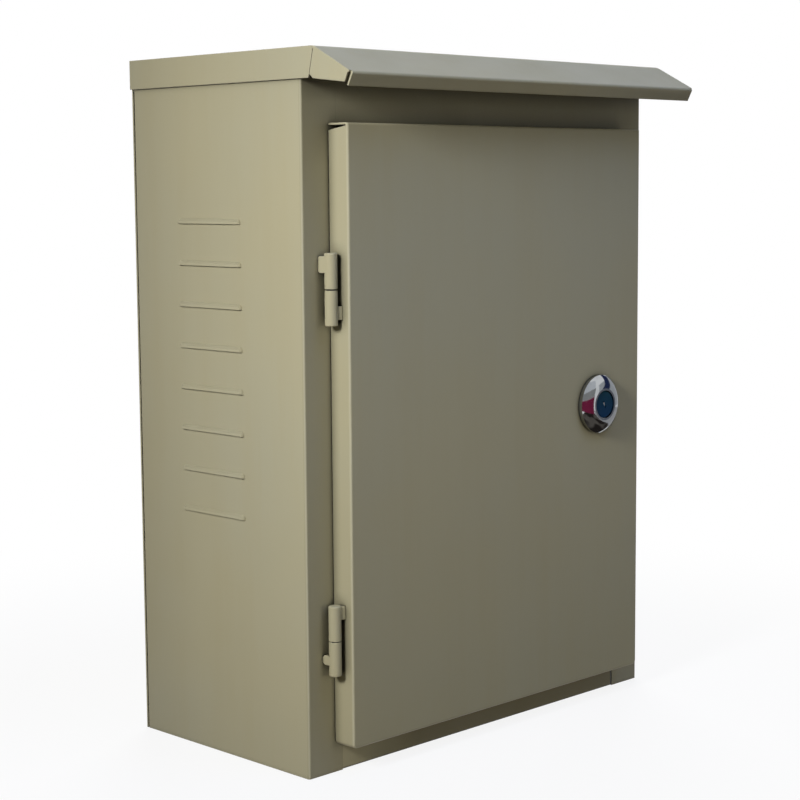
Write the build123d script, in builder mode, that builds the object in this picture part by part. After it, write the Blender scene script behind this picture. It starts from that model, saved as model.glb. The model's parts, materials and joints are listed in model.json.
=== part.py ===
# Outdoor sheet-steel utility cabinet: folded body, rain hood, hinged door and quarter-turn cam lock.
# Frame: +Z up, front towards -Y, +X to the right seen from the front, origin mid-underside.
import os
from math import atan2, cos, hypot, sin, tan

from build123d import *

os.makedirs("parts", exist_ok=True)

# Body shell
body_width = 300.0
body_depth = 150.0
body_height = 408.0
sheet = 1.2
fold_radius = 1.4
lap_flange = 12.0
panel_gap = 0.2
seam_gap = 0.05
open_seam_gap = 0.6
overrun = 5.0

# Door tray, set in from the body's edges, with turned-back edges
door_side_margin = 20.0
door_top_margin = 39.3
door_bottom_margin = 16.4
door_depth = 15.0
door_gap = 0.6
door_overlap = 6.0
door_corner_radius = 3.0
door_corner_opening = 2.8
door_corner_slit = 0.5

# Foam strip inside the door
gasket_width = 9.0
gasket_thickness = 5.0
gasket_clearance = 0.3
gasket_margin = 0.3

# Rain hood
hood_clearance = 0.3
hood_band = 17.0
hood_crest = 12.5
hood_crest_radius = 9.0
hood_slope_reach = 29.5
hood_slope_drop = 15.3
hood_lip = 8.2
hood_lip_inset = 1.2
hood_lip_relief = 0.4
hood_flange_end = 7.0
hood_flange_setback = 2.6
hood_mitre_gap = 0.4
hood_notch_width = 3.0
hood_notch_height = 2.0

# Pressed louvres in both sides
louvre_count = 8
louvre_top = 313.0
louvre_pitch = 24.3
louvre_front = 51.8
louvre_length = 56.0
louvre_rise = 3.0
louvre_depth = 1.6

# Welded pin hinges
hinge_offset = 5.4
hinge_stand = 7.0
hinge_length = 40.5
hinge_split = 0.4
hinge_knuckle_radius = 3.6
hinge_end_wall = 2.5
hinge_end_chamfer = 0.5
hinge_pin_radius = 2.0
hinge_pin_end_gap = 0.3
hinge_press_clearance = 0.01
hinge_running_clearance = 0.05
upper_hinge_height = 277.3
lower_hinge_height = 79.0
leaf_thickness = 2.0
leaf_weld = 0.6
door_leaf_reach = 0.8
door_leaf_height = 7.6
upper_door_leaf_inset = 3.4
lower_door_leaf_inset = 0.5
upper_frame_leaf_height = 9.2
upper_frame_leaf_inset = 1.8
upper_frame_leaf_rounding = 2.2
lower_frame_leaf_height = 5.4
lower_frame_leaf_inset = 6.4
lower_frame_leaf_rounding = 2.6

# Cam lock
lock_edge = 42.8
lock_height = 194.8
lock_flange_radius = 18.5
lock_rim = 2.2
lock_crown_radius = 10.2
lock_crown_height = 7.0
lock_crown_bulge = 0.7
lock_seal_thickness = 0.8
lock_seal_inset = 0.5
lock_barrel_radius = 9.0
lock_barrel_flat = 8.0
lock_hole_clearance = 0.3
lock_bore_radius = 6.96
lock_running_clearance = 0.06
lock_cap_clearance = 0.3
lock_cap_radius = 8.6
lock_cap_thickness = 2.4
lock_cap_recess = 0.5
lock_cap_chamfer = 0.5
key_slot_length = 5.0
key_slot_width = 1.4
key_slot_depth = 3.6
key_slot_turn = -60.0
lock_nut_width = 24.0
lock_nut_thickness = 4.0
lock_thread_clearance = 0.05
cam_clearance = 0.6
cam_running_gap = 0.3
cam_thickness = 2.0
cam_reach = 45.0
cam_width = 14.0
cam_hub_radius = 10.0
cam_square = 7.0
cam_square_clearance = 0.1
cam_screw_radius = 2.4
cam_screw_clearance = 0.05
cam_screw_length = 9.0
cam_screw_head_radius = 4.4
cam_screw_head_height = 2.8
cam_screw_head_chamfer = 0.6
cam_screw_tip_gap = 0.6
cam_screw_slot_width = 1.2
cam_screw_slot_depth = 1.2
cam_washer_radius = 5.4
cam_washer_thickness = 1.0

# Back panel holes and the mounting plate that stands in front of it
wall_hole_radius = 4.5
wall_hole_inset_x = 25.0
wall_hole_inset_z = 29.0
plate_thickness = 1.5
plate_inset_x = 35.0
plate_inset_z = 39.0
plate_corner_radius = 4.0
plate_stud_inset = 10.0
plate_stand = 12.0

# Threaded studs, washers and nuts, of one size throughout
stud_radius = 3.0
stud_shoulder_radius = 5.0
stud_length = 13.0
stud_clearance = 0.3
stud_thread_clearance = 0.05
washer_radius = 6.0
washer_thickness = 1.2
nut_width = 10.0
nut_thickness = 5.0
earth_stud_length = 16.0
body_earth_height = 45.0
body_earth_front = 62.0
door_earth_edge = 32.0
door_earth_rise = 30.0

# Cable knock-outs in the underside
knockout_radius = 14.0
knockout_spacing = 70.0
knockout_count = 3
knockout_back = 45.0
knockout_slit = 0.8
knockout_tie = 3.0

# Places that follow from the sizes above
front_y = -body_depth / 2
back_y = body_depth / 2
side_x = body_width / 2
panel_back_y = back_y - 2 * sheet
side_return = door_side_margin + door_overlap
opening_x = side_x - side_return
opening_bottom = door_bottom_margin + door_overlap
opening_top = body_height - door_top_margin - door_overlap
lip_length = door_gap + door_depth - sheet - gasket_thickness - gasket_clearance
door_width = body_width - 2 * door_side_margin
door_height = body_height - door_top_margin - door_bottom_margin
door_mid_z = door_bottom_margin + door_height / 2
door_top_z = body_height - door_top_margin
door_back_y = front_y - door_gap
door_face_y = door_back_y - door_depth
door_inner_y = door_face_y + sheet
fold_mid_radius = fold_radius - sheet / 2


# Section of a sheet that follows its mid-line with rounded folds
def folded_sheet(points, radii):
    with BuildLine() as mid_line:
        FilletPolyline(*points, radius=radii)
    trace(mid_line.line, line_width=sheet)


# One louvre at floor level: a bulge with rounded ends, or the hollow under it that opens downward
louvre_near_y = front_y + louvre_front + louvre_depth
louvre_mid_y = front_y + louvre_front + louvre_length / 2
louvre_plane = Plane((-side_x, louvre_near_y, 0), x_dir=(-1, 0, 0), z_dir=(0, 1, 0))
louvre_axis = Axis((-side_x, louvre_near_y, 0), (0, 0, 1))
louvre_half = louvre_mid_y - louvre_near_y


def louvre_solid(depth, rise, inward):
    with BuildPart() as bulge:
        with BuildSketch(louvre_plane) as profile:
            with BuildLine():
                TangentArc((depth, 0), (0, rise), tangent=(0, 1))
                Line((0, rise), (0, 0))
                Line((0, 0), (depth, 0))
            make_face()
        revolve(profile.sketch, axis=louvre_axis, revolution_arc=90)
        with BuildSketch(louvre_plane):
            add(profile.sketch_local)
            Rectangle(inward, rise, align=(Align.MAX, Align.MIN))
        extrude(amount=louvre_half)
        mirror(about=Plane.XZ.offset(-louvre_mid_y))
    return bulge.part


louvre_skin = louvre_solid(louvre_depth, louvre_rise, sheet)
louvre_hollow = louvre_solid(louvre_depth - sheet, louvre_rise - sheet, sheet + overrun)
louvre_places = [(0, 0, louvre_top - row * louvre_pitch) for row in range(louvre_count)]

# Left side, folded in at the front and back, with a forward lip along the opening
side_mid_x = side_x - sheet / 2
front_mid_y = front_y + sheet / 2
rear_mid_y = panel_back_y + sheet / 2
with BuildPart() as left_side_panel:
    with BuildSketch():
        folded_sheet(
            [
                (-opening_x, front_mid_y),
                (-side_mid_x, front_mid_y),
                (-side_mid_x, rear_mid_y),
                (-side_x + lap_flange, rear_mid_y),
            ],
            fold_mid_radius,
        )
    extrude(amount=body_height)
    with BuildSketch(Plane.XY.offset(opening_bottom - sheet)):
        with Locations((-opening_x, front_y + sheet)):
            Rectangle(sheet, lip_length + sheet, align=(Align.MAX, Align.MAX))
    extrude(amount=opening_top - opening_bottom + 2 * sheet)
    with Locations(*louvre_places):
        add(louvre_skin)
    with Locations(*louvre_places):
        add(louvre_hollow, mode=Mode.SUBTRACT)
left_side_panel.part.label = "left_side_panel"
export_step(left_side_panel.part, "parts/left_side_panel.step")

# Right side, its mirror image
with BuildPart() as right_side_panel:
    add(mirror(left_side_panel.part, about=Plane.YZ, mode=Mode.PRIVATE))
right_side_panel.part.label = "right_side_panel"
export_step(right_side_panel.part, "parts/right_side_panel.step")

# Top and bottom fit between the sides, with lap flanges at both ends and a front return with a lip
cross_mid_x = side_x - sheet - panel_gap - sheet / 2
cross_front_y = front_y + sheet + panel_gap
cross_back_y = panel_back_y - panel_gap
cross_depth = cross_back_y - cross_front_y
cross_return = opening_x - seam_gap
with BuildPart() as top_panel:
    with BuildSketch(Plane.XZ.offset(-cross_back_y)):
        folded_sheet(
            [
                (-cross_mid_x, body_height - lap_flange),
                (-cross_mid_x, body_height - sheet / 2),
                (cross_mid_x, body_height - sheet / 2),
                (cross_mid_x, body_height - lap_flange),
            ],
            fold_mid_radius,
        )
    extrude(amount=cross_depth)
    with BuildSketch(Plane.YZ):
        folded_sheet(
            [
                (cross_front_y + lap_flange, body_height - sheet / 2),
                (front_mid_y, body_height - sheet / 2),
                (front_mid_y, opening_top + sheet / 2),
                (front_y - lip_length, opening_top + sheet / 2),
            ],
            fold_mid_radius,
        )
    extrude(amount=cross_return, both=True)
top_panel.part.label = "top_panel"
export_step(top_panel.part, "parts/top_panel.step")

# The bottom leaves an open seam at its right end, and has cable knock-outs: discs held by two ties
with BuildPart() as bottom_panel:
    with BuildSketch(Plane.XZ.offset(-cross_back_y)):
        folded_sheet(
            [
                (-cross_mid_x, lap_flange),
                (-cross_mid_x, sheet / 2),
                (cross_mid_x, sheet / 2),
                (cross_mid_x, lap_flange),
            ],
            fold_mid_radius,
        )
    extrude(amount=cross_depth)
    with BuildSketch(Plane.YZ.offset(-cross_return)):
        folded_sheet(
            [
                (cross_front_y + lap_flange, sheet / 2),
                (front_mid_y, sheet / 2),
                (front_mid_y, opening_bottom - sheet / 2),
                (front_y - lip_length, opening_bottom - sheet / 2),
            ],
            fold_mid_radius,
        )
    extrude(amount=cross_return + opening_x - open_seam_gap)
    with BuildSketch():
        with Locations((0, back_y - knockout_back)):
            with GridLocations(knockout_spacing, 0, knockout_count, 1):
                Circle(knockout_radius)
                Circle(knockout_radius - knockout_slit, mode=Mode.SUBTRACT)
                Rectangle(2 * knockout_radius, knockout_tie, mode=Mode.SUBTRACT)
    extrude(amount=sheet, mode=Mode.SUBTRACT)
bottom_panel.part.label = "bottom_panel"
export_step(bottom_panel.part, "parts/bottom_panel.step")

# Back, lapped over the flanges of the sides, with the holes for the wall bolts
wall_hole_spacing_x = body_width - 2 * wall_hole_inset_x
wall_hole_spacing_z = body_height - 2 * wall_hole_inset_z
with BuildPart() as back_panel:
    with BuildSketch(Plane.XZ.offset(-back_y)):
        with Locations((0, body_height / 2)):
            Rectangle(body_width, body_height)
            with GridLocations(wall_hole_spacing_x, wall_hole_spacing_z, 2, 2):
                Circle(wall_hole_radius, mode=Mode.SUBTRACT)
    extrude(amount=sheet)
back_panel.part.label = "back_panel"
export_step(back_panel.part, "parts/back_panel.step")

# Rain hood: a flat top that runs out past the front, bends down into an eave and ends in a lip
hood_top = body_height + sheet
hood_x = side_x + hood_clearance + sheet
crest_y = front_y - hood_crest
slope_angle = atan2(hood_slope_drop, hood_slope_reach)
slope_length = hypot(hood_slope_drop, hood_slope_reach)


# Point of the eave's side view, measured from the crest along the slope and square below it
def eave_point(along, below):
    y = crest_y - along * cos(slope_angle) + below * sin(slope_angle)
    z = hood_top - along * sin(slope_angle) - below * cos(slope_angle)
    return (y, z)


mitre_lean = tan(slope_angle / 2)
mitre_foot = (crest_y + hood_band * mitre_lean, hood_top - hood_band)
mitre_head = (crest_y + sheet * mitre_lean, hood_top - sheet)
flange_front = slope_length - hood_flange_setback
lip_start = slope_length - fold_radius - hood_lip_relief
crest_mid_radius = hood_crest_radius - sheet / 2
crest_mid_point = (crest_y + mitre_lean * sheet / 2, hood_top - sheet / 2)
hood_rear_point = (back_y, hood_top - sheet / 2)
slit_front = mitre_foot[0] - hood_mitre_gap / 2
slit_rear = mitre_foot[0] + hood_mitre_gap / 2


# Side band and eave flange of the hood, parted by an open mitre with a notch at its foot
def hood_flap():
    with BuildSketch() as flap:
        with BuildLine():
            FilletPolyline(
                hood_rear_point,
                crest_mid_point,
                eave_point(flange_front, sheet / 2),
                radius=crest_mid_radius,
            )
            Polyline(
                eave_point(flange_front, sheet / 2),
                eave_point(flange_front, hood_flange_end),
                mitre_foot,
                (back_y, hood_top - hood_band),
                hood_rear_point,
            )
        make_face()
        Polygon(
            (mitre_head[0] - hood_mitre_gap / 2, mitre_head[1]),
            (slit_front - hood_notch_height * mitre_lean, mitre_foot[1] + hood_notch_height),
            (slit_front - hood_notch_width, mitre_foot[1]),
            (slit_front - hood_notch_width, mitre_foot[1] - overrun),
            (slit_rear + overrun * mitre_lean, mitre_foot[1] - overrun),
            (mitre_head[0] + hood_mitre_gap / 2, mitre_head[1]),
            align=None,
            mode=Mode.SUBTRACT,
        )
    return flap.sketch


with BuildPart() as rain_hood:
    with BuildSketch(Plane.YZ):
        folded_sheet(
            [
                hood_rear_point,
                crest_mid_point,
                eave_point(slope_length - sheet / 2, sheet / 2),
                eave_point(slope_length - sheet / 2, hood_lip),
            ],
            [crest_mid_radius, fold_mid_radius],
        )
    extrude(amount=hood_x, both=True)
    with BuildSketch(Plane.YZ.offset(-hood_x), Plane.YZ.offset(hood_x - hood_lip_inset)):
        Polygon(
            eave_point(lip_start, -overrun),
            eave_point(slope_length + overrun, -overrun),
            eave_point(slope_length + overrun, hood_lip + overrun),
            eave_point(lip_start, hood_lip + overrun),
            align=None,
        )
    extrude(amount=hood_lip_inset, mode=Mode.SUBTRACT)
    with BuildSketch(Plane.YZ.offset(-hood_x), Plane.YZ.offset(hood_x - sheet)):
        add(hood_flap())
    extrude(amount=sheet)
rain_hood.part.label = "rain_hood"
export_step(rain_hood.part, "parts/rain_hood.step")

# Door: a tray with welded, rounded lower corners and a wedge left open at each upper corner
lock_x = side_x - door_side_margin - lock_edge
with BuildPart() as door_panel:
    with BuildSketch(Plane.XZ.offset(-door_back_y)):
        with Locations((0, door_mid_z)):
            Rectangle(door_width, door_height)
    extrude(amount=door_depth)
    lower_corners = door_panel.edges().filter_by(Axis.Y).group_by(Axis.Z)[0]
    fillet(lower_corners, radius=door_corner_radius)
    front_edges = door_panel.faces().sort_by(Axis.Y)[0].edges()
    fillet(front_edges, radius=fold_radius)
    offset(amount=-sheet, openings=door_panel.faces().sort_by(Axis.Y)[-1])
    with BuildSketch(Plane.YZ):
        Polygon(
            (door_face_y + fold_radius, door_top_z - sheet),
            (door_face_y + fold_radius, door_top_z - sheet - door_corner_slit),
            (door_back_y, door_top_z - sheet - door_corner_opening),
            (door_back_y + overrun, door_top_z - sheet - door_corner_opening),
            (door_back_y + overrun, door_top_z - sheet),
            align=None,
        )
    extrude(amount=door_width, both=True, mode=Mode.SUBTRACT)
    with BuildSketch(Plane.XZ.offset(-door_inner_y)):
        with Locations((lock_x, lock_height)):
            Circle(lock_barrel_radius + lock_hole_clearance)
            flat_width = 2 * (lock_barrel_flat + lock_hole_clearance)
            Rectangle(flat_width, 2 * lock_flange_radius, mode=Mode.INTERSECT)
    extrude(amount=sheet, mode=Mode.SUBTRACT)
door_panel.part.label = "door_panel"
export_step(door_panel.part, "parts/door_panel.step")

# Foam strip round the inside of the door, just clear of the lip of the body
with BuildPart() as door_gasket:
    with BuildSketch(Plane.XZ.offset(-door_inner_y)):
        with Locations((0, door_mid_z)):
            gasket_wide = door_width - 2 * (fold_radius + gasket_margin)
            gasket_high = door_height - 2 * (fold_radius + gasket_margin)
            RectangleRounded(gasket_wide, gasket_high, door_corner_radius)
            inner_wide = gasket_wide - 2 * gasket_width
            inner_high = gasket_high - 2 * gasket_width
            Rectangle(inner_wide, inner_high, mode=Mode.SUBTRACT)
    extrude(amount=-gasket_thickness)
door_gasket.part.label = "door_gasket"
export_step(door_gasket.part, "parts/door_gasket.step")

# Hinges: each half is a closed knuckle with a leaf at its side, and a pin joins the two
hinge_x = -side_x + door_side_margin - hinge_offset
hinge_y = front_y - hinge_stand
knuckle_height = (hinge_length - hinge_split) / 2
bore_depth = knuckle_height - hinge_end_wall
frame_leaf_plane = Plane.YZ.offset(hinge_x - hinge_knuckle_radius)
door_leaf_plane = Plane.YZ.offset(-side_x + door_side_margin)


# Knuckle from its open end, at mid-height of the hinge, up or down to its closed end
def knuckle(middle, way):
    with BuildPart() as barrel:
        with BuildSketch(Plane.XY.offset(middle + way * hinge_split / 2)):
            with Locations((hinge_x, hinge_y)):
                Circle(hinge_knuckle_radius)
        extrude(amount=way * knuckle_height)
        closed_end = barrel.faces().sort_by(Axis.Z)[-1 if way > 0 else 0]
        chamfer(closed_end.edges(), length=hinge_end_chamfer)
    return barrel.part


# Blind bore of a knuckle, from its open end
def knuckle_bore(middle, way, clearance):
    with BuildPart() as bore:
        with BuildSketch(Plane.XY.offset(middle + way * hinge_split / 2)):
            with Locations((hinge_x, hinge_y)):
                Circle(hinge_pin_radius + clearance)
        extrude(amount=way * bore_depth)
    return bore.part


# Frame half: the leaf runs straight back from the knuckle's side to the front of the body
def frame_half(middle, way, leaf_inset, leaf_height, rounding):
    closed_z = middle + way * hinge_length / 2
    leaf_z = closed_z - way * (leaf_inset + leaf_height / 2)
    leaf_run = front_y - hinge_y
    with BuildPart() as half:
        add(knuckle(middle, way))
        with BuildSketch(frame_leaf_plane) as leaf:
            with Locations((hinge_y + leaf_run / 2, leaf_z)):
                Rectangle(leaf_run, leaf_height)
            fillet(leaf.vertices().group_by(Axis.X)[-1], radius=rounding)
        extrude(amount=leaf_thickness)
        add(knuckle_bore(middle, way, hinge_press_clearance), mode=Mode.SUBTRACT)
    return half.part


# Door half: the leaf runs from the knuckle to the turned-back edge of the door
def door_half(middle, way, leaf_inset):
    closed_z = middle + way * hinge_length / 2
    leaf_z = closed_z - way * (leaf_inset + door_leaf_height / 2)
    leaf_depth = hinge_offset - hinge_knuckle_radius + leaf_weld
    with BuildPart() as half:
        add(knuckle(middle, way))
        with BuildSketch(door_leaf_plane):
            with Locations((hinge_y + hinge_pin_radius, leaf_z)):
                leaf_run = door_leaf_reach + hinge_pin_radius
                Rectangle(leaf_run, door_leaf_height, align=(Align.MAX, Align.CENTER))
        extrude(amount=-leaf_depth)
        add(knuckle_bore(middle, way, hinge_running_clearance), mode=Mode.SUBTRACT)
    return half.part


# Pin, pressed into the frame half and running in the door half
def hinge_pin(middle):
    pin_half = hinge_split / 2 + bore_depth - hinge_pin_end_gap
    with BuildPart() as pin:
        with BuildSketch(Plane.XY.offset(middle)):
            with Locations((hinge_x, hinge_y)):
                Circle(hinge_pin_radius)
        extrude(amount=pin_half, both=True)
    return pin.part


with BuildPart() as upper_hinge_frame_leaf:
    add(
        frame_half(
            upper_hinge_height,
            1,
            upper_frame_leaf_inset,
            upper_frame_leaf_height,
            upper_frame_leaf_rounding,
        )
    )
upper_hinge_frame_leaf.part.label = "upper_hinge_frame_leaf"
export_step(upper_hinge_frame_leaf.part, "parts/upper_hinge_frame_leaf.step")

with BuildPart() as upper_hinge_door_leaf:
    add(door_half(upper_hinge_height, -1, upper_door_leaf_inset))
upper_hinge_door_leaf.part.label = "upper_hinge_door_leaf"
export_step(upper_hinge_door_leaf.part, "parts/upper_hinge_door_leaf.step")

with BuildPart() as upper_hinge_pin:
    add(hinge_pin(upper_hinge_height))
upper_hinge_pin.part.label = "upper_hinge_pin"
export_step(upper_hinge_pin.part, "parts/upper_hinge_pin.step")

with BuildPart() as lower_hinge_frame_leaf:
    add(
        frame_half(
            lower_hinge_height,
            -1,
            lower_frame_leaf_inset,
            lower_frame_leaf_height,
            lower_frame_leaf_rounding,
        )
    )
lower_hinge_frame_leaf.part.label = "lower_hinge_frame_leaf"
export_step(lower_hinge_frame_leaf.part, "parts/lower_hinge_frame_leaf.step")

with BuildPart() as lower_hinge_door_leaf:
    add(door_half(lower_hinge_height, 1, lower_door_leaf_inset))
lower_hinge_door_leaf.part.label = "lower_hinge_door_leaf"
export_step(lower_hinge_door_leaf.part, "parts/lower_hinge_door_leaf.step")

with BuildPart() as lower_hinge_pin:
    add(hinge_pin(lower_hinge_height))
lower_hinge_pin.part.label = "lower_hinge_pin"
export_step(lower_hinge_pin.part, "parts/lower_hinge_pin.step")

# Lock: places along its axis, measured back from the outer face of the door
lock_center = (lock_x, door_face_y, lock_height)
lock_section = Plane(lock_center, x_dir=(1, 0, 0), z_dir=(0, 0, 1))
lock_front = Plane(lock_center, x_dir=(1, 0, 0), z_dir=(0, -1, 0))
lock_axis = Axis(lock_center, (0, 1, 0))
cam_front = front_y + sheet + cam_clearance - door_face_y
cam_back = cam_front + cam_thickness
barrel_end = cam_front - cam_running_gap
cap_front = -lock_crown_height + lock_cap_recess
cap_back = cap_front + lock_cap_thickness
cap_floor = cap_back + cam_running_gap
cap_bore = lock_cap_radius + lock_cap_clearance

# Escutcheon with a domed chrome face and a threaded barrel with two flats
with BuildPart() as lock_housing:
    with BuildSketch(lock_section):
        with BuildLine():
            Polyline(
                (lock_crown_radius, -lock_crown_height),
                (cap_bore, -lock_crown_height),
                (cap_bore, cap_floor),
                (lock_bore_radius, cap_floor),
                (lock_bore_radius, barrel_end),
                (lock_barrel_radius, barrel_end),
                (lock_barrel_radius, -lock_seal_thickness),
                (lock_flange_radius, -lock_seal_thickness),
                (lock_flange_radius, -lock_seal_thickness - lock_rim),
            )
            SagittaArc(
                (lock_flange_radius, -lock_seal_thickness - lock_rim),
                (lock_crown_radius, -lock_crown_height),
                lock_crown_bulge,
            )
        make_face()
    revolve(axis=lock_axis)
    with BuildSketch(lock_front.offset(lock_seal_thickness)):
        flat_cut = lock_barrel_radius - lock_barrel_flat + overrun
        with Locations(
            (lock_barrel_flat + flat_cut / 2, 0),
            (-lock_barrel_flat - flat_cut / 2, 0),
        ):
            Rectangle(flat_cut, 2 * lock_flange_radius)
    extrude(amount=-barrel_end - lock_seal_thickness - overrun, mode=Mode.SUBTRACT)
lock_housing.part.label = "lock_housing"
export_step(lock_housing.part, "parts/lock_housing.step")

# Black ring between the escutcheon and the door
with BuildPart() as lock_seal:
    with BuildSketch(lock_front):
        Circle(lock_flange_radius - lock_seal_inset)
        Circle(lock_barrel_radius + lock_hole_clearance, mode=Mode.SUBTRACT)
    extrude(amount=lock_seal_thickness)
lock_seal.part.label = "lock_seal"
export_step(lock_seal.part, "parts/lock_seal.step")

# Nut that draws the escutcheon against the door from inside
with BuildPart() as lock_nut:
    with BuildSketch(lock_front.offset(-sheet)):
        RegularPolygon(lock_nut_width / 2, 6, major_radius=False)
        Circle(lock_barrel_radius + lock_thread_clearance, mode=Mode.SUBTRACT)
    extrude(amount=-lock_nut_thickness)
lock_nut.part.label = "lock_nut"
export_step(lock_nut.part, "parts/lock_nut.step")

# Face of the plug, with the key slot
with BuildPart() as lock_cap:
    with BuildSketch(lock_front.offset(-cap_back)):
        Circle(lock_cap_radius)
    extrude(amount=lock_cap_thickness)
    chamfer(lock_cap.faces().sort_by(Axis.Y)[0].edges(), length=lock_cap_chamfer)
    with BuildSketch(lock_front.offset(-cap_back)):
        SlotOverall(key_slot_length, key_slot_width, rotation=key_slot_turn)
    extrude(amount=lock_cap_thickness, mode=Mode.SUBTRACT)
lock_cap.part.label = "lock_cap"
export_step(lock_cap.part, "parts/lock_cap.step")

# Plug, turning in the barrel, with a square tail for the cam and a hole for its screw
with BuildPart() as lock_plug:
    with BuildSketch(lock_front.offset(-cap_back)):
        Circle(lock_bore_radius - lock_running_clearance)
    extrude(amount=-(cam_front - cap_back))
    with BuildSketch(lock_front.offset(-cam_front)):
        Rectangle(cam_square, cam_square)
    extrude(amount=-cam_thickness)
    with BuildSketch(lock_front.offset(-cap_back)):
        SlotOverall(key_slot_length, key_slot_width, rotation=key_slot_turn)
    extrude(amount=-key_slot_depth, mode=Mode.SUBTRACT)
    with BuildSketch(lock_front.offset(-cam_back)):
        Circle(cam_screw_radius + cam_screw_clearance)
    extrude(amount=cam_screw_length, mode=Mode.SUBTRACT)
lock_plug.part.label = "lock_plug"
export_step(lock_plug.part, "parts/lock_plug.step")

# Cam: a flat arm that hangs down when the lock is open and turns in behind the side's front return
with BuildPart() as lock_cam:
    with BuildSketch(lock_front.offset(-cam_front)):
        Circle(cam_hub_radius)
        cam_tip = cam_reach - cam_width / 2
        Rectangle(cam_width, cam_tip, align=(Align.CENTER, Align.MAX))
        with Locations((0, -cam_tip)):
            Circle(cam_width / 2)
        Rectangle(
            cam_square + 2 * cam_square_clearance,
            cam_square + 2 * cam_square_clearance,
            mode=Mode.SUBTRACT,
        )
    extrude(amount=-cam_thickness)
lock_cam.part.label = "lock_cam"
export_step(lock_cam.part, "parts/lock_cam.step")

# Washer and slotted screw that hold the cam on the plug
with BuildPart() as lock_cam_washer:
    with BuildSketch(lock_front.offset(-cam_back)):
        Circle(cam_washer_radius)
        Circle(cam_screw_radius + cam_screw_clearance, mode=Mode.SUBTRACT)
    extrude(amount=-cam_washer_thickness)
lock_cam_washer.part.label = "lock_cam_washer"
export_step(lock_cam_washer.part, "parts/lock_cam_washer.step")

screw_seat = cam_back + cam_washer_thickness
with BuildPart() as lock_cam_screw:
    with BuildSketch(lock_front.offset(-screw_seat)):
        Circle(cam_screw_head_radius)
    extrude(amount=-cam_screw_head_height)
    chamfer(lock_cam_screw.faces().sort_by(Axis.Y)[-1].edges(), length=cam_screw_head_chamfer)
    with BuildSketch(lock_front.offset(-screw_seat)):
        Circle(cam_screw_radius)
    extrude(amount=cam_screw_length - cam_screw_tip_gap)
    with BuildSketch(lock_front.offset(-screw_seat - cam_screw_head_height)):
        Rectangle(cam_screw_slot_width, 2 * cam_screw_head_radius)
    extrude(amount=cam_screw_slot_depth, mode=Mode.SUBTRACT)
lock_cam_screw.part.label = "lock_cam_screw"
export_step(lock_cam_screw.part, "parts/lock_cam_screw.step")

# Mounting plate for the fittings, on four shouldered studs welded to the back
plate_width = body_width - 2 * plate_inset_x
plate_height = body_height - 2 * plate_inset_z
plate_back_y = back_y - sheet - plate_stand
plate_front_y = plate_back_y - plate_thickness
stud_spacing_x = plate_width - 2 * plate_stud_inset
stud_spacing_z = plate_height - 2 * plate_stud_inset
with BuildPart() as mounting_plate:
    with BuildSketch(Plane.XZ.offset(-plate_back_y)):
        with Locations((0, body_height / 2)):
            RectangleRounded(plate_width, plate_height, plate_corner_radius)
            with GridLocations(stud_spacing_x, stud_spacing_z, 2, 2):
                Circle(stud_radius + stud_clearance, mode=Mode.SUBTRACT)
    extrude(amount=plate_thickness)
mounting_plate.part.label = "mounting_plate"
export_step(mounting_plate.part, "parts/mounting_plate.step")

with BuildPart() as mounting_studs:
    with BuildSketch(Plane.XZ.offset(sheet - back_y)):
        with Locations((0, body_height / 2)):
            with GridLocations(stud_spacing_x, stud_spacing_z, 2, 2):
                Circle(stud_shoulder_radius)
    extrude(amount=plate_stand)
    with BuildSketch(Plane.XZ.offset(-plate_back_y)):
        with Locations((0, body_height / 2)):
            with GridLocations(stud_spacing_x, stud_spacing_z, 2, 2):
                Circle(stud_radius)
    extrude(amount=stud_length)
mounting_studs.part.label = "mounting_studs"
export_step(mounting_studs.part, "parts/mounting_studs.step")

with BuildPart() as mounting_washers:
    with BuildSketch(Plane.XZ.offset(-plate_front_y)):
        with Locations((0, body_height / 2)):
            with GridLocations(stud_spacing_x, stud_spacing_z, 2, 2):
                Circle(washer_radius)
                Circle(stud_radius + stud_clearance, mode=Mode.SUBTRACT)
    extrude(amount=washer_thickness)
mounting_washers.part.label = "mounting_washers"
export_step(mounting_washers.part, "parts/mounting_washers.step")

with BuildPart() as mounting_nuts:
    with BuildSketch(Plane.XZ.offset(washer_thickness - plate_front_y)):
        with Locations((0, body_height / 2)):
            with GridLocations(stud_spacing_x, stud_spacing_z, 2, 2):
                RegularPolygon(nut_width / 2, 6, major_radius=False)
                Circle(stud_radius + stud_thread_clearance, mode=Mode.SUBTRACT)
    extrude(amount=nut_thickness)
mounting_nuts.part.label = "mounting_nuts"
export_step(mounting_nuts.part, "parts/mounting_nuts.step")


# Earth stud with its washer and nut, welded to the sheet at the plane's origin
def earth_stud(seat):
    with BuildPart() as stud:
        with BuildSketch(seat):
            Circle(stud_radius)
        extrude(amount=earth_stud_length)
    return stud.part


def earth_washer(seat):
    with BuildPart() as washer:
        with BuildSketch(seat):
            Circle(washer_radius)
            Circle(stud_radius + stud_clearance, mode=Mode.SUBTRACT)
        extrude(amount=washer_thickness)
    return washer.part


def earth_nut(seat):
    with BuildPart() as nut:
        with BuildSketch(seat.offset(washer_thickness)):
            RegularPolygon(nut_width / 2, 6, major_radius=False)
            Circle(stud_radius + stud_thread_clearance, mode=Mode.SUBTRACT)
        extrude(amount=nut_thickness)
    return nut.part


body_earth_seat = Plane(
    (-side_x + sheet, front_y + body_earth_front, body_earth_height),
    x_dir=(0, 1, 0),
    z_dir=(1, 0, 0),
)
door_earth_seat = Plane(
    (-door_width / 2 + door_earth_edge, door_inner_y, door_bottom_margin + door_earth_rise),
    x_dir=(-1, 0, 0),
    z_dir=(0, 1, 0),
)

with BuildPart() as body_earth_stud:
    add(earth_stud(body_earth_seat))
body_earth_stud.part.label = "body_earth_stud"
export_step(body_earth_stud.part, "parts/body_earth_stud.step")

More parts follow.
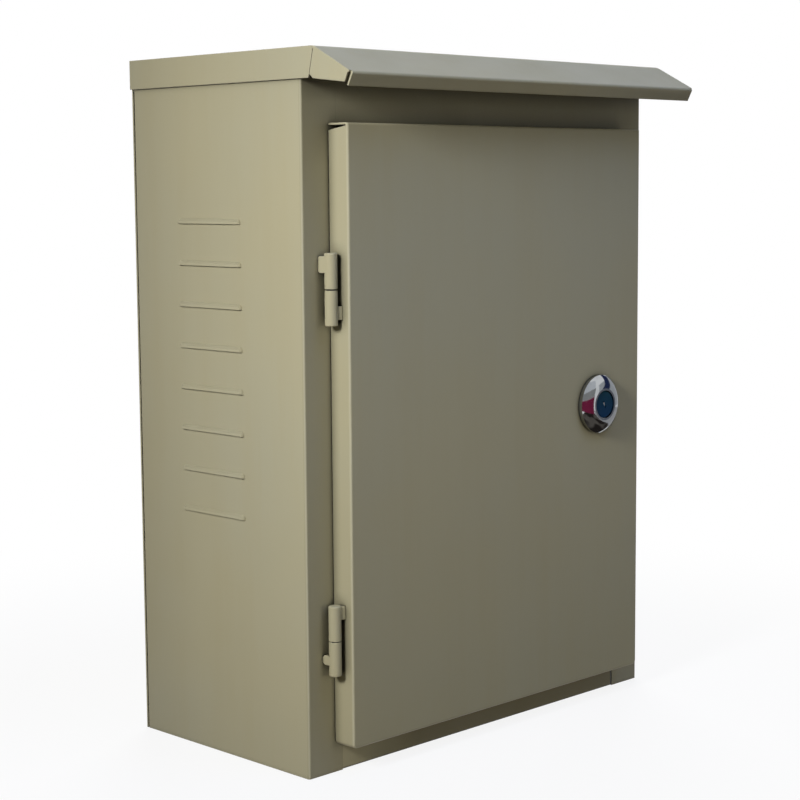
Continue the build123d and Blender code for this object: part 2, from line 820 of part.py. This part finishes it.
with BuildPart() as body_earth_washer:
    add(earth_washer(body_earth_seat))
body_earth_washer.part.label = "body_earth_washer"
export_step(body_earth_washer.part, "parts/body_earth_washer.step")

with BuildPart() as body_earth_nut:
    add(earth_nut(body_earth_seat))
body_earth_nut.part.label = "body_earth_nut"
export_step(body_earth_nut.part, "parts/body_earth_nut.step")

with BuildPart() as door_earth_stud:
    add(earth_stud(door_earth_seat))
door_earth_stud.part.label = "door_earth_stud"
export_step(door_earth_stud.part, "parts/door_earth_stud.step")

with BuildPart() as door_earth_washer:
    add(earth_washer(door_earth_seat))
door_earth_washer.part.label = "door_earth_washer"
export_step(door_earth_washer.part, "parts/door_earth_washer.step")

with BuildPart() as door_earth_nut:
    add(earth_nut(door_earth_seat))
door_earth_nut.part.label = "door_earth_nut"
export_step(door_earth_nut.part, "parts/door_earth_nut.step")
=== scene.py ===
import json
from math import cos, pi, radians, sin

import bpy
from mathutils import Matrix, Vector


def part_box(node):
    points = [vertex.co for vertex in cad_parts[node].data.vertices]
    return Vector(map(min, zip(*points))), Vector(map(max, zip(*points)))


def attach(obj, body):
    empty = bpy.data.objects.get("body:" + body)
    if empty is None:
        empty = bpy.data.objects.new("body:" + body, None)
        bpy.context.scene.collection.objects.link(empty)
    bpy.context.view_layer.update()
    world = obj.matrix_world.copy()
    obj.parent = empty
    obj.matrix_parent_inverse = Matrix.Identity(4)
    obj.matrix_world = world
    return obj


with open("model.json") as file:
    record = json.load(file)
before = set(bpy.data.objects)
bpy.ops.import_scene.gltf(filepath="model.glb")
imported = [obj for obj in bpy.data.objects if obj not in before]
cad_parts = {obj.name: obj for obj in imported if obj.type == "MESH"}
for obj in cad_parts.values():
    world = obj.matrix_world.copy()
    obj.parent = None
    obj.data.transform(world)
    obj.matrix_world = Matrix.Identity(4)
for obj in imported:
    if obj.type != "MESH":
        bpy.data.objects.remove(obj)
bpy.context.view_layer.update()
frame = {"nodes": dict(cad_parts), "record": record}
nodes = frame["nodes"]

# Colours, linear
PAINT = (0.436, 0.402, 0.262, 1.0)
PAINT_WARM = (0.418, 0.374, 0.232, 1.0)
PAINT_COOL = (0.425, 0.403, 0.282, 1.0)
PAINT_EDGE = (0.60, 0.57, 0.43, 1.0)
PAINT_SHADED = (0.20, 0.185, 0.125, 1.0)
CORNER_SHADE = (0.075, 0.068, 0.042, 1.0)
UNDER_DOOR_SHADE = (0.13, 0.105, 0.035, 1.0)
SHADE_DARK = (0.014, 0.012, 0.008, 1.0)
ZINC = (0.60, 0.61, 0.62, 1.0)
ZINC_PALE = (0.53, 0.54, 0.55, 1.0)
ZINC_DARK = (0.42, 0.44, 0.46, 1.0)
STEEL = (0.56, 0.56, 0.55, 1.0)
CHROME = (0.45, 0.465, 0.48, 1.0)
CHROME_DULL = (0.38, 0.395, 0.41, 1.0)
CAP_TEAL = (0.006, 0.052, 0.080, 1.0)
CAP_BLUE = (0.006, 0.040, 0.115, 1.0)
FOAM = (0.022, 0.022, 0.024, 1.0)
FOAM_WORN = (0.0352, 0.0352, 0.0384, 1.0)
RUBBER = (0.016, 0.016, 0.017, 1.0)
RUBBER_WORN = (0.0256, 0.0256, 0.0272, 1.0)
WHITE = (1.0, 1.0, 1.0, 1.0)
SKY = (0.80, 0.90, 1.0, 1.0)
FLOOR_BOUNCE = (0.18, 0.145, 0.10, 1.0)
FLOOR_SHADE = (0.92, 0.92, 0.92, 1.0)

# Spans along an axis that painted shade and painted highlights follow, in metres, from where they begin to
# where they are full
REAR_SHADE_Y = (0.020, 0.080)
FRONT_Y = (-0.0720, -0.0732)
RETURN_SHADE_Y = (-0.0732, -0.0745)
LOUVRE_Y = (-0.060, -0.055)
UNDER_DOOR_X = (-0.125, -0.06)
UNDER_DOOR_Z = (0.021, 0.012)
SEAM_X = (0.1219, 0.1226)
EAVE_X = (0.05, 0.15)
EAVE_Z = (0.3925, 0.3905)
SHELTER_Z = (0.345, 0.372)

# Spans of the open share of a place, of squareness to the axes and of agreement with a rounded edge
SHELTERED = (0.97, 0.5)
SEAM_SHADE = (0.62, 0.30)
HINGE_SHADE = (0.82, 0.50)
FASTENER_SHADE = (0.6, 0.15)
IN_THE_OPEN = (0.75, 0.95)
LOUVRE_SLOPE = (0.985, 0.88)
FOLD = (0.985, 0.80)
CUT_EDGE = (0.98, 0.80)

# Spans of noise
PATCHES = (0.35, 0.7)
STREAKS = (0.45, 0.8)
CRYSTALS = (0.1, 0.9)
SHEEN = (0.25, 0.75)

# Reach of the painted shade under the hood, width of the worn and highlit edges and half width of the
# painted shade line at the hinge split, in metres
SHELTER_REACH = 0.030
FASTENER_REACH = 0.003
EDGE_RADIUS = 0.0008
SPLIT_HALF = 0.0004


# Math node between two sockets
def joined(tree, operation, a, b):
    node = tree.nodes.new("ShaderNodeMath")
    node.operation = operation
    tree.links.new(a, node.inputs[0])
    tree.links.new(b, node.inputs[1])
    return node.outputs[0]


# Node helpers
class Tree:
    def __init__(self, name):
        self.material = bpy.data.materials.new(name)
        self.material.use_nodes = True
        self.nodes = self.material.node_tree.nodes
        self.links = self.material.node_tree.links
        self.shader = self.nodes["Principled BSDF"]
        places = self.nodes.new("ShaderNodeTexCoord")
        self.coord = places.outputs["Object"]
        self.plain_normal = places.outputs["Normal"]

    def link(self, a, b):
        self.links.new(a, b)

    def set(self, **values):
        for key, value in values.items():
            self.shader.inputs[key.replace("_", " ")].default_value = value

    def stretched(self, scale):
        node = self.nodes.new("ShaderNodeMapping")
        node.inputs["Scale"].default_value = scale
        self.link(self.coord, node.inputs["Vector"])
        return node.outputs["Vector"]

    def noise(self, scale, detail=2.0, rough=0.5, vector=None):
        node = self.nodes.new("ShaderNodeTexNoise")
        node.inputs["Scale"].default_value = scale
        node.inputs["Detail"].default_value = detail
        node.inputs["Roughness"].default_value = rough
        self.link(vector or self.coord, node.inputs["Vector"])
        return node.outputs["Fac"]

    def cells(self, scale):
        node = self.nodes.new("ShaderNodeTexVoronoi")
        node.inputs["Scale"].default_value = scale
        self.link(self.coord, node.inputs["Vector"])
        return node.outputs["Color"]

    # A span stretched to run from none to full
    def spread(self, fac, span, full=1.0, none=0.0):
        node = self.nodes.new("ShaderNodeMapRange")
        node.inputs["From Min"].default_value = span[0]
        node.inputs["From Max"].default_value = span[1]
        node.inputs["To Min"].default_value = none
        node.inputs["To Max"].default_value = full
        self.link(fac, node.inputs["Value"])
        return node.outputs["Result"]

    def axis(self, name):
        node = self.nodes.new("ShaderNodeSeparateXYZ")
        self.link(self.coord, node.inputs["Vector"])
        return node.outputs[name]

    def along(self, name, span, full=1.0):
        return self.spread(self.axis(name), span, full)

    # 1 within a distance of a place along an axis
    def near(self, name, place, distance):
        node = self.nodes.new("ShaderNodeMath")
        node.operation = "COMPARE"
        self.link(self.axis(name), node.inputs[0])
        node.inputs[1].default_value = place
        node.inputs[2].default_value = distance
        return node.outputs[0]

    def mix(self, fac, a, b):
        node = self.nodes.new("ShaderNodeMix")
        node.data_type = "RGBA"
        self.link(fac, node.inputs["Factor"])
        for name, value in (("A", a), ("B", b)):
            socket = next(s for s in node.inputs if s.name == name and s.type == "RGBA")
            if hasattr(value, "node"):
                self.link(value, socket)
            else:
                socket.default_value = value
        return next(s for s in node.outputs if s.type == "RGBA")

    def bump(self, height, strength, distance, normal=None):
        node = self.nodes.new("ShaderNodeBump")
        node.inputs["Strength"].default_value = strength
        node.inputs["Distance"].default_value = distance
        self.link(height, node.inputs["Height"])
        if normal is not None:
            self.link(normal, node.inputs["Normal"])
        return node.outputs["Normal"]

    # Near 0 in seams and crevices, 1 in the open
    def open_share(self, distance):
        node = self.nodes.new("ShaderNodeAmbientOcclusion")
        node.samples = 8
        node.inputs["Distance"].default_value = distance
        return node.outputs["AO"]

    # Normal that rounds sharp edges, and its agreement with the plain normal
    def rounded(self, radius):
        node = self.nodes.new("ShaderNodeBevel")
        node.samples = 6
        node.inputs["Radius"].default_value = radius
        plain = self.nodes.new("ShaderNodeNewGeometry")
        dot = self.nodes.new("ShaderNodeVectorMath")
        dot.operation = "DOT_PRODUCT"
        self.link(node.outputs["Normal"], dot.inputs[0])
        self.link(plain.outputs["Normal"], dot.inputs[1])
        return node.outputs["Normal"], dot.outputs["Value"]

    # 1 on faces square to an axis, less on folds
    def squareness(self):
        size = self.nodes.new("ShaderNodeVectorMath")
        size.operation = "ABSOLUTE"
        self.link(self.plain_normal, size.inputs[0])
        parts = self.nodes.new("ShaderNodeSeparateXYZ")
        self.link(size.outputs["Vector"], parts.inputs["Vector"])
        largest = joined(self, "MAXIMUM", parts.outputs["X"], parts.outputs["Y"])
        return joined(self, "MAXIMUM", largest, parts.outputs["Z"])

    def times(self, a, b):
        return joined(self, "MULTIPLY", a, b)

    def colour(self, socket):
        self.link(socket, self.shader.inputs["Base Color"])

    def rough(self, fac, low, high):
        self.link(self.spread(fac, SHEEN, high, low), self.shader.inputs["Roughness"])

    def normal(self, socket):
        self.link(socket, self.shader.inputs["Normal"])


# Powder coat: faint cloudy tint, soft handling marks, painted shade darkening the seams and a fine orange
# peel.
# Folds get a painted highlight, cut edges are pale where worn thin and from a painted highlight, and the low
# front return gets painted shade under the door, and painted shade lies on the louvre slopes, under the
# hood, on the front return, in the corners around the door, towards the rear edge and at the eave's end.
# The seam and corner values are how far the painted shade reaches out of them, and the split is the height
# of a painted shade line.
def paint_material(
    name,
    seam,
    crevice_shade=SEAM_SHADE,
    cut_edges=False,
    panel=False,
    shade_under_door=False,
    eave=False,
    corner=None,
    split=None,
):
    t = Tree(name)
    clouds = t.spread(t.noise(scale=7.0, detail=3.0), PATCHES)
    marks = t.noise(scale=1.0, detail=3.0, rough=0.6, vector=t.stretched((60.0, 60.0, 5.0)))
    base = t.mix(t.spread(marks, STREAKS, full=0.5), t.mix(clouds, PAINT, PAINT_COOL), PAINT_WARM)
    # Painted shade: darker towards the rear edge
    base = t.mix(t.along("Y", REAR_SHADE_Y, full=0.18), base, PAINT_SHADED)
    front = t.along("Y", FRONT_Y)
    if shade_under_door:
        # Painted shade on the low front return under the door
        low = t.times(front, t.along("Z", UNDER_DOOR_Z))
        base = t.mix(t.times(low, t.along("X", UNDER_DOOR_X, full=0.85)), base, UNDER_DOOR_SHADE)
        # Painted shade line in the seam at the return's right end
        base = t.mix(t.times(low, t.along("X", SEAM_X, full=0.95)), base, SHADE_DARK)
    if eave:
        # Painted shade: the eave's right end darker
        end = t.along("X", EAVE_X, full=0.45)
        base = t.mix(t.times(end, t.along("Z", EAVE_Z)), base, PAINT_SHADED)
    if panel:
        # Painted shade on the front return, in its recess beside the door
        base = t.mix(t.along("Y", RETURN_SHADE_Y, full=0.38), base, PAINT_SHADED)
        # Painted shade on the front frame under the hood
        shelter = t.spread(t.open_share(SHELTER_REACH), SHELTERED, full=0.80)
        base = t.mix(t.times(shelter, t.along("Z", SHELTER_Z)), base, CORNER_SHADE)
        # Painted shade on the louvre slopes
        slopes = t.spread(t.squareness(), LOUVRE_SLOPE)
        base = t.mix(t.times(t.along("Y", LOUVRE_Y, full=0.22), slopes), base, PAINT_SHADED)
    if panel or corner:
        # Painted highlight on the front folds
        fold_highlight = t.times(front, t.spread(t.squareness(), FOLD, full=0.45))
        base = t.mix(fold_highlight, base, PAINT_EDGE)
    clear = t.open_share(seam)
    normal = None
    if cut_edges:
        # Cut edges pale, partly worn thin and partly a painted highlight
        normal, agreement = t.rounded(EDGE_RADIUS)
        worn = t.times(t.spread(agreement, CUT_EDGE, full=0.60), t.spread(clear, IN_THE_OPEN))
        base = t.mix(worn, base, PAINT_EDGE)
    if corner:
        # Painted shade in the corners around the door
        base = t.mix(t.spread(t.open_share(corner), SHELTERED, full=0.65), base, CORNER_SHADE)
    if split is not None:
        # Painted shade line at the hinge split
        base = t.mix(t.near("Z", split, SPLIT_HALF), base, SHADE_DARK)
    # Painted shade darkens seams and crevices
    t.colour(t.mix(t.spread(clear, crevice_shade, full=0.96), base, SHADE_DARK))
    t.rough(t.noise(scale=35.0, detail=4.0), low=0.40, high=0.52)
    wave = t.bump(t.noise(scale=14.0, detail=1.0), strength=0.12, distance=0.002, normal=normal)
    peel = t.noise(scale=620.0, rough=0.45)
    t.normal(t.bump(peel, strength=0.10, distance=0.0003, normal=wave))
    t.set(Specular_IOR_Level=0.32)
    return t.material


# Zinc-plated fastener: pale, with slight clouding and turning marks, and painted shade in its crevices
def zinc_material():
    t = Tree("zinc_fastener")
    zinc = t.mix(t.spread(t.noise(scale=180.0, detail=3.0), PATCHES), ZINC, ZINC_DARK)
    # Painted shade in the fastener's crevices
    crevice_shade = t.spread(t.open_share(FASTENER_REACH), FASTENER_SHADE, full=0.95)
    t.colour(t.mix(crevice_shade, zinc, SHADE_DARK))
    t.rough(t.noise(scale=260.0), low=0.26, high=0.42)
    t.normal(t.bump(t.noise(scale=900.0), strength=0.12, distance=0.0002))
    t.set(Metallic=1.0)
    return t.material


# Galvanised plate with its faint crystal pattern
def galvanised_material():
    t = Tree("zinc_plate")
    crystals = t.cells(scale=110.0)
    t.colour(t.mix(t.spread(crystals, CRYSTALS), ZINC_PALE, ZINC))
    t.rough(crystals, low=0.46, high=0.54)
    t.normal(t.bump(t.noise(scale=600.0), strength=0.05, distance=0.0002))
    t.set(Metallic=1.0)
    return t.material


# Satin steel of the lock's plug, turned along its length
def steel_material():
    t = Tree("lock_steel")
    t.colour(t.mix(t.noise(scale=300.0), STEEL, ZINC_DARK))
    t.rough(t.noise(scale=1.0, vector=t.stretched((900.0, 30.0, 900.0))), low=0.22, high=0.40)
    t.set(Metallic=1.0)
    return t.material


# Chrome with faint wiping marks
def chrome_material():
    t = Tree("chrome")
    t.colour(t.mix(t.spread(t.noise(scale=160.0, detail=3.0), PATCHES), CHROME, CHROME_DULL))
    wiping = t.noise(scale=1.0, detail=3.0, vector=t.stretched((700.0, 200.0, 180.0)))
    t.rough(wiping, low=0.05, high=0.12)
    t.set(Metallic=1.0)
    return t.material


# Glossy cap, teal above and blue below
def cap_material():
    t = Tree("blue_plastic")
    low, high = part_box("lock_cap")
    t.colour(t.mix(t.along("Z", (low.z, high.z)), CAP_BLUE, CAP_TEAL))
    t.rough(t.noise(scale=400.0), low=0.16, high=0.28)
    t.normal(t.bump(t.noise(scale=700.0, detail=1.0), strength=0.05, distance=0.0002))
    t.set(Specular_IOR_Level=0.08)
    return t.material


# Matt foam or rubber, with patches wider than its grain
def rubber_material(name, colour, worn, patches, grain, low, high):
    t = Tree(name)
    t.colour(t.mix(t.noise(scale=patches), colour, worn))
    t.rough(t.noise(scale=grain), low, high)
    t.normal(t.bump(t.noise(scale=grain, detail=3.0), strength=0.35, distance=0.0004))
    return t.material


HINGE_SPLIT = (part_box("upper_hinge_frame_leaf")[0].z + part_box("upper_hinge_door_leaf")[1].z) / 2
materials = {
    "paint": paint_material("paint", seam=0.0030, crevice_shade=HINGE_SHADE, cut_edges=True, split=HINGE_SPLIT),
    "paint_hood": paint_material("paint_hood", seam=0.0048, cut_edges=True, eave=True),
    "paint_door": paint_material("paint_door", seam=0.0042, cut_edges=True, corner=0.008),
    "paint_panel": paint_material("paint_panel", seam=0.0065, panel=True),
    "paint_low": paint_material("paint_low", seam=0.0048, shade_under_door=True),
    "zinc_fastener": zinc_material(),
    "zinc_plate": galvanised_material(),
    "lock_steel": steel_material(),
    "chrome": chrome_material(),
    "blue_plastic": cap_material(),
    "foam": rubber_material("foam", FOAM, FOAM_WORN, patches=270.0, grain=900.0, low=0.75, high=0.95),
    "rubber": rubber_material("rubber", RUBBER, RUBBER_WORN, patches=360.0, grain=1200.0, low=0.5, high=0.7),
}


# Mesh object in the scene
def new_object(name, points, faces, material):
    mesh = bpy.data.meshes.new(name)
    mesh.from_pydata(points, [], faces)
    mesh.materials.append(material)
    made = bpy.data.objects.new(name, mesh)
    bpy.context.scene.collection.objects.link(made)
    return made


# Spring shutter in the key slot, leaning forward under the face of the cap
SHUTTER_SINK = 0.00042
SHUTTER_HALF = 0.0014
SHUTTER_RADIUS = 0.00062
SHUTTER_TURN = radians(-60.0)
SHUTTER_LEAN = -0.2
SHUTTER_STEPS = 8
# Depth of each ring of points behind the face, and its share of the full width
SHUTTER_RINGS = ((0.0, 0.85), (0.0001, 1.0), (0.0010, 1.0))


def key_shutter():
    low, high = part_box("lock_cap")
    centre = Vector(((low.x + high.x) / 2, low.y + SHUTTER_SINK, (low.z + high.z) / 2))
    ring = []
    for end, start in ((1, -pi / 2), (-1, pi / 2)):
        for i in range(SHUTTER_STEPS + 1):
            a = start + pi * i / SHUTTER_STEPS
            u = end * (SHUTTER_HALF - SHUTTER_RADIUS) + SHUTTER_RADIUS * cos(a)
            ring.append((u, SHUTTER_RADIUS * sin(a)))
    points = []
    for depth, share in SHUTTER_RINGS:
        for u, v in ring:
            x = u * cos(SHUTTER_TURN) - v * share * sin(SHUTTER_TURN)
            z = u * sin(SHUTTER_TURN) + v * share * cos(SHUTTER_TURN)
            points.append((centre.x + x, centre.y + depth + SHUTTER_LEAN * z, centre.z + z))
    n = len(ring)
    faces = [tuple(range(n)), tuple(range(3 * n - 1, 2 * n - 1, -1))]
    for layer in (0, n):
        for i in range(n):
            j = (i + 1) % n
            faces.append((layer + i, layer + n + i, layer + n + j, layer + j))
    shutter = new_object("key_shutter", points, faces, materials["chrome"])
    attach(shutter, "lock")


# Weld that fills the corner between the knuckle of a door half and the side of the door.
# Its plan runs from a root in the knuckle's wall over the knuckle's face to the door, seen from the pin.
WELD_HEIGHT = 0.0076
WELD_ROOT = (0.0020, -0.0012)
WELD_FACE = (0.0025, -0.0026)
WELD_DOOR_Y = -0.0034
UPPER_WELD_INSET = 0.0034
LOWER_WELD_INSET = 0.0005


def hinge_weld(name, node, foot):
    low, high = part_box(node)
    radius = (high.y - low.y) / 2
    x, y, wall = low.x + radius, low.y + radius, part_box("door_panel")[0].x
    plan = [(x + u, y + v) for u, v in (WELD_ROOT, WELD_FACE)] + [(wall, y + WELD_DOOR_Y), (wall, y)]
    points = [(u, v, z) for z in (foot, foot + WELD_HEIGHT) for u, v in plan]
    n = len(plan)
    faces = [tuple(reversed(range(n))), tuple(range(n, 2 * n))]
    for i in range(n):
        j = (i + 1) % n
        faces.append((i, j, n + j, n + i))
    weld = new_object(name, points, faces, materials["paint"])
    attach(weld, "door")


key_shutter()
upper_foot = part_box("upper_hinge_door_leaf")[0].z + UPPER_WELD_INSET
lower_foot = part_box("lower_hinge_door_leaf")[1].z - LOWER_WELD_INSET - WELD_HEIGHT
hinge_weld("upper_hinge_weld", "upper_hinge_door_leaf", upper_foot)
hinge_weld("lower_hinge_weld", "lower_hinge_door_leaf", lower_foot)

# The large sheets have their own paint, and the other nodes take the look of their slot
SHEET_PAINT = {
    "left_side_panel": "paint_panel",
    "right_side_panel": "paint_panel",
    "top_panel": "paint_panel",
    "back_panel": "paint_panel",
    "bottom_panel": "paint_low",
    "door_panel": "paint_door",
    "rain_hood": "paint_hood",
}
for part in frame["record"]["subparts"]:
    node = nodes[part["node"]]
    node.data.materials.clear()
    finish = SHEET_PAINT.get(part["node"], part["material_slot"])
    node.data.materials.append(materials[finish])


# Light path test that is 1 for what the camera sees, straight on or through gloss and glass
def seen_ray(tree):
    path = tree.nodes.new("ShaderNodeLightPath")
    straight_or_gloss = joined(tree, "MAXIMUM", path.outputs["Is Camera Ray"], path.outputs["Is Glossy Ray"])
    return joined(tree, "MAXIMUM", straight_or_gloss, path.outputs["Is Transmission Ray"])


# Mix of two shaders in a node tree
def mixed(tree, fac, a, b):
    node = tree.nodes.new("ShaderNodeMixShader")
    for socket, value in zip(node.inputs, (fac, a, b)):
        tree.links.new(value, socket)
    return node.outputs[0]


# Shader node with a colour, and a strength where it has one
def coloured(tree, kind, colour, strength=None):
    node = tree.nodes.new(kind)
    node.inputs["Color"].default_value = colour
    if strength is not None:
        node.inputs["Strength"].default_value = strength
    return node


# World: white where it is seen, a low cool sky for the rest
SKY_STRENGTH = 0.06
world = bpy.data.worlds.new("studio")
bpy.context.scene.world = world
world.use_nodes = True
wt = world.node_tree
wt.nodes.clear()
sky = coloured(wt, "ShaderNodeBackground", SKY, SKY_STRENGTH)
white = coloured(wt, "ShaderNodeBackground", WHITE, 1.0)
world_out = wt.nodes.new("ShaderNodeOutputWorld")
wt.links.new(mixed(wt, seen_ray(wt), sky.outputs[0], white.outputs[0]), world_out.inputs["Surface"])

# Floor: a pale round that keeps the shadow near the cabinet and fades into the white background
FLOOR_RADIUS = 4.0
FLOOR_SIDES = 96
FLOOR_Z = -0.0004
SHADOW_SPAN = (0.20, 0.62)
GLOW_NEAR = 0.88
bpy.ops.mesh.primitive_circle_add(
    vertices=FLOOR_SIDES, radius=FLOOR_RADIUS, fill_type="NGON", location=(0, 0, FLOOR_Z)
)
floor = bpy.context.object
floor.name = "floor"
floor_material = bpy.data.materials.new("floor")
floor_material.use_nodes = True
ft = floor_material.node_tree
ft.nodes.clear()
bounce = coloured(ft, "ShaderNodeBsdfDiffuse", FLOOR_BOUNCE)
shade = coloured(ft, "ShaderNodeBsdfDiffuse", FLOOR_SHADE)
glow = coloured(ft, "ShaderNodeEmission", WHITE, 1.0)
coord = ft.nodes.new("ShaderNodeTexCoord")
distance = ft.nodes.new("ShaderNodeVectorMath")
distance.operation = "LENGTH"
fade = ft.nodes.new("ShaderNodeMapRange")
fade.interpolation_type = "SMOOTHSTEP"
fade.inputs["From Min"].default_value = SHADOW_SPAN[0]
fade.inputs["From Max"].default_value = SHADOW_SPAN[1]
fade.inputs["To Min"].default_value = GLOW_NEAR
fade.inputs["To Max"].default_value = 1.0
ft.links.new(coord.outputs["Object"], distance.inputs[0])
ft.links.new(distance.outputs["Value"], fade.inputs["Value"])
seen_floor = mixed(ft, fade.outputs["Result"], shade.outputs[0], glow.outputs[0])
floor_out = ft.nodes.new("ShaderNodeOutputMaterial")
ft.links.new(mixed(ft, seen_ray(ft), bounce.outputs[0], seen_floor), floor_out.inputs["Surface"])
floor.data.materials.append(floor_material)


# Soft lamps
def lamp(name, place, aim, size, watts, colour, spread=180.0):
    data = bpy.data.lights.new(name, "AREA")
    data.shape = "DISK"
    data.size = size
    data.energy = watts
    data.color = colour
    data.spread = radians(spread)
    lamp_object = bpy.data.objects.new(name, data)
    bpy.context.scene.collection.objects.link(lamp_object)
    lamp_object.location = place
    lamp_object.rotation_euler = (Vector(aim) - Vector(place)).to_track_quat("-Z", "Y").to_euler()
    lamp_object.visible_camera = False
    lamp_object.visible_glossy = False


lamp(
    "side_key",
    place=(-1.0, -0.26, 0.62),
    aim=(-0.15, -0.24, 0.275),
    size=0.26,
    watts=2.06,
    colour=(1.0, 0.99, 0.97),
    spread=80.0,
)
lamp(
    "sky_top",
    place=(0.10, -0.45, 1.08),
    aim=(0.0, -0.05, 0.40),
    size=0.7,
    watts=0.56,
    colour=(0.345, 0.495, 1.0),
    spread=60.0,
)
lamp(
    "front_fill",
    place=(0.0, -1.45, 0.25),
    aim=(-0.10, -0.09, 0.05),
    size=0.8,
    watts=0.42,
    colour=(1.0, 0.955, 0.77),
    spread=60.0,
)
lamp(
    "back_fill",
    place=(1.35, 1.25, 0.95),
    aim=(0.0, 0.0, 0.22),
    size=1.5,
    watts=38.0,
    colour=(1.0, 1.0, 1.0),
)

BLOTCH_SCALE = 4.5
BLOTCH_DETAIL = 1.0
BLOTCH_SPAN = (0.46, 0.56)


# Two colours in soft blotches, into a colour socket
def blotched(tree, colours, socket):
    place = tree.nodes.new("ShaderNodeTexCoord")
    noise = tree.nodes.new("ShaderNodeTexNoise")
    noise.inputs["Scale"].default_value = BLOTCH_SCALE
    noise.inputs["Detail"].default_value = BLOTCH_DETAIL
    ramp = tree.nodes.new("ShaderNodeValToRGB")
    for stop, position, colour in zip(ramp.color_ramp.elements, BLOTCH_SPAN, colours):
        stop.position = position
        stop.color = colour
    tree.links.new(place.outputs["Object"], noise.inputs["Vector"])
    tree.links.new(noise.outputs["Fac"], ramp.inputs["Fac"])
    tree.links.new(ramp.outputs["Color"], socket)


# Cards that only polished faces within reach see, so that the chrome has something to show.
# The foot is the share of the width that is left at the lower end.
def card(name, centre, facing, width, height, colour, reach, roll=0.0, foot=1.0, blotch=None):
    material = bpy.data.materials.new(name)
    material.use_nodes = True
    tree = material.node_tree
    tree.nodes.clear()
    light = coloured(tree, "ShaderNodeEmission", colour + (1.0,), 1.0)
    if blotch:
        blotched(tree, (colour + (1.0,), blotch + (1.0,)), light.inputs["Color"])
    gone = tree.nodes.new("ShaderNodeBsdfTransparent")
    path = tree.nodes.new("ShaderNodeLightPath")
    far = tree.nodes.new("ShaderNodeMath")
    far.operation = "GREATER_THAN"
    far.inputs[1].default_value = reach
    tree.links.new(path.outputs["Ray Length"], far.inputs[0])
    out = tree.nodes.new("ShaderNodeOutputMaterial")
    tree.links.new(mixed(tree, far.outputs[0], light.outputs[0], gone.outputs[0]), out.inputs["Surface"])
    w, h = width / 2, height / 2
    corners = [(-w * foot, -h, 0), (w * foot, -h, 0), (w, h, 0), (-w, h, 0)]
    card_object = new_object(name, corners, [(0, 1, 2, 3)], material)
    card_object.location = centre
    aim = (Vector(facing) - Vector(centre)).to_track_quat("Z", "Y").to_matrix()
    card_object.rotation_euler = (aim @ Matrix.Rotation(radians(roll), 3, "Z")).to_euler()
    card_object.visible_camera = False
    card_object.visible_diffuse = False
    card_object.visible_transmission = False
    card_object.visible_shadow = False


lock_low, lock_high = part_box("lock_housing")
LOCK = ((lock_low.x + lock_high.x) / 2, lock_low.y, (lock_low.z + lock_high.z) / 2)
card(
    "ground_card",
    centre=(0.17, -0.45, 0.002),
    facing=(0.17, -0.45, 1.0),
    width=0.56,
    height=0.70,
    colour=(0.024, 0.020, 0.018),
    reach=0.70,
    blotch=(0.125, 0.112, 0.098),
)
card(
    "paving_card",
    centre=(0.85, -0.35, 0.001),
    facing=(0.85, -0.35, 1.0),
    width=0.80,
    height=1.10,
    colour=(0.46, 0.46, 0.47),
    reach=1.5,
)
card(
    "red_card",
    centre=(0.01, -0.59, 0.13),
    facing=LOCK,
    width=0.68,
    height=0.26,
    colour=(0.22, 0.022, 0.065),
    reach=0.62,
)
card(
    "grey_card",
    centre=(0.01, -0.60, 0.35),
    facing=LOCK,
    width=0.68,
    height=0.18,
    colour=(0.34, 0.345, 0.34),
    reach=0.64,
)
card(
    "pale_card",
    centre=(0.01, -0.62, 0.62),
    facing=LOCK,
    width=0.80,
    height=0.36,
    colour=(0.70, 0.72, 0.75),
    reach=0.90,
)
card(
    "wall_card",
    centre=(1.20, -0.54, 0.38),
    facing=LOCK,
    width=1.40,
    height=0.76,
    colour=(0.50, 0.52, 0.54),
    reach=1.6,
)
card(
    "ring_card",
    centre=(0.94, -0.78, 0.065),
    facing=LOCK,
    width=0.18,
    height=0.16,
    colour=(0.17, 0.18, 0.21),
    reach=1.2,
)
card(
    "strip_card",
    centre=(0.96, -0.48, 0.51),
    facing=LOCK,
    width=0.36,
    height=0.80,
    colour=(0.020, 0.032, 0.095),
    reach=1.2,
    roll=50.0,
    foot=0.5,
)

# Camera, fitted to the photograph's edges
YAW, PITCH, ROLL = radians(45.08), radians(6.67), radians(-0.43)
FOCAL_PX, FRAME_PX, SENSOR_MM = 1841.0, 800.0, 36.0
CAMERA_PLACE = (-0.8286, -0.8264, 0.3346)
ahead = Vector((sin(YAW) * cos(PITCH), cos(YAW) * cos(PITCH), -sin(PITCH)))
side = Vector((cos(YAW), -sin(YAW), 0.0))
above = side.cross(ahead)
right = side * cos(ROLL) + above * sin(ROLL)
up = above * cos(ROLL) - side * sin(ROLL)
cam_data = bpy.data.cameras.new("camera")
cam_data.sensor_width = SENSOR_MM
cam_data.lens = FOCAL_PX / FRAME_PX * SENSOR_MM
camera = bpy.data.objects.new("camera", cam_data)
bpy.context.scene.collection.objects.link(camera)
turn = Matrix((right, up, -ahead)).transposed()
camera.matrix_world = Matrix.Translation(CAMERA_PLACE) @ turn.to_4x4()
bpy.context.scene.camera = camera
bpy.context.scene.view_settings.view_transform = "Standard"

bpy.context.view_layer.update()
